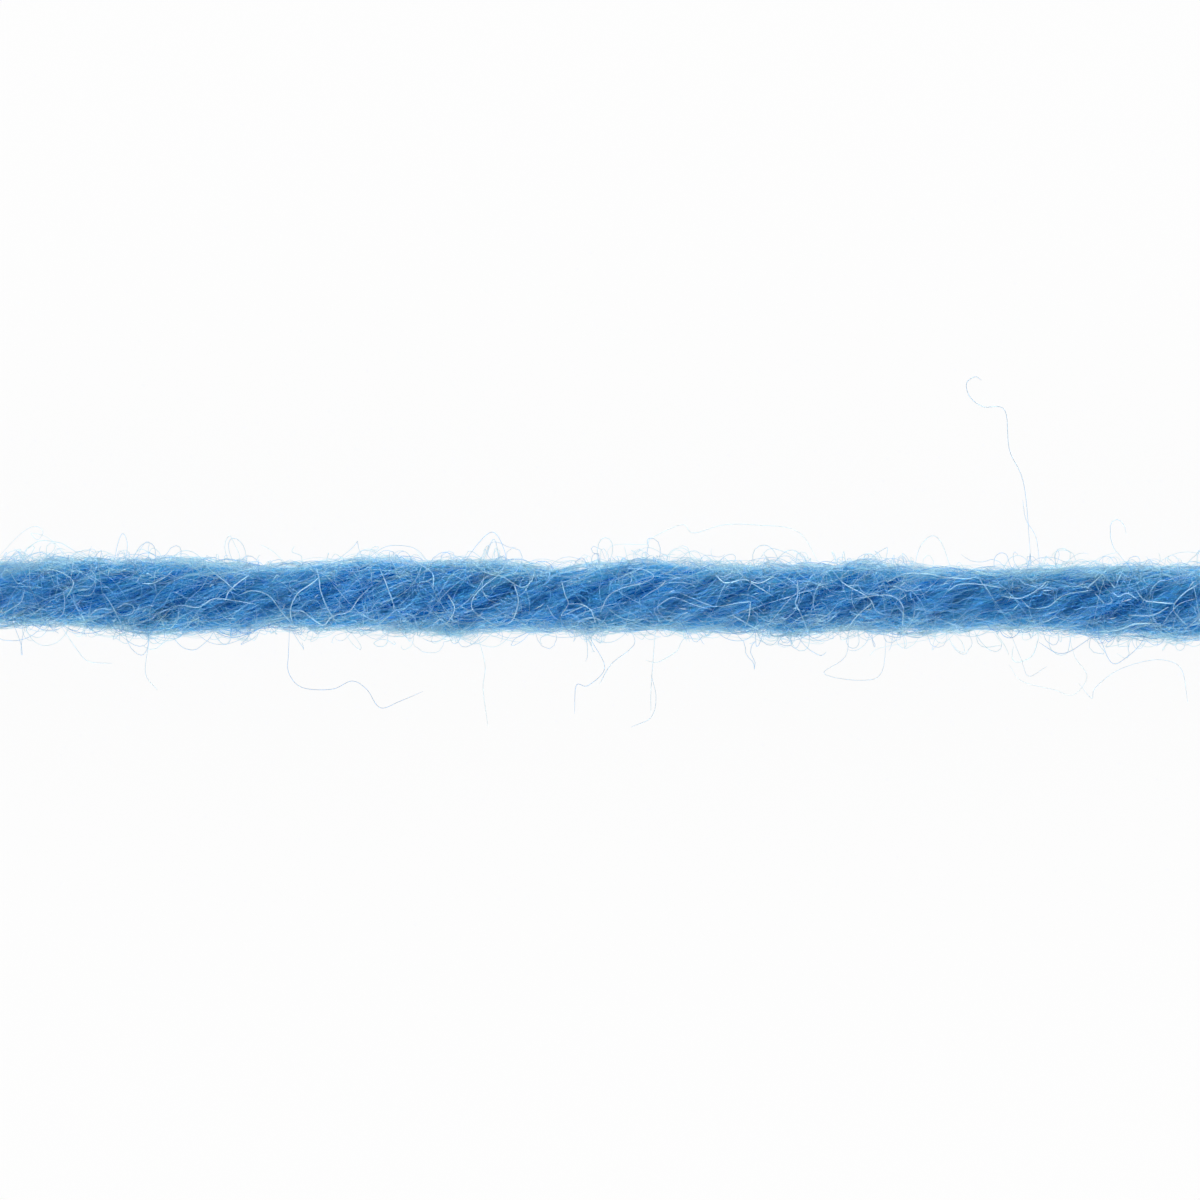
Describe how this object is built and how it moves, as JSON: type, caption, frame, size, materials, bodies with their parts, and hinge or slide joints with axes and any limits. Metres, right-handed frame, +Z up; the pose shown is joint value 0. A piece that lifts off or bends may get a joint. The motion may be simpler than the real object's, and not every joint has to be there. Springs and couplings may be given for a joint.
{
  "type": "merino wool yarn",
  "caption": "Straight cut length of soft plied wool knitting yarn, twisted to the left, lying flat with its fuzzy surface and two cut ends.",
  "frame": {"origin": "on the surface that the yarn lies on, under the middle of its length and of its width", "axes": "+X along the yarn, +Y across it in the plane of the surface, +Z up from the surface"},
  "size_m": [0.042, 0.0024, 0.0021],
  "materials": {
    "blue_wool": "mid-blue soft spun wool, matt, with a pale halo of loose fibres"
  },
  "bodies": {
    "root": {"yarn": "blue_wool"}
  },
  "joints": []
}
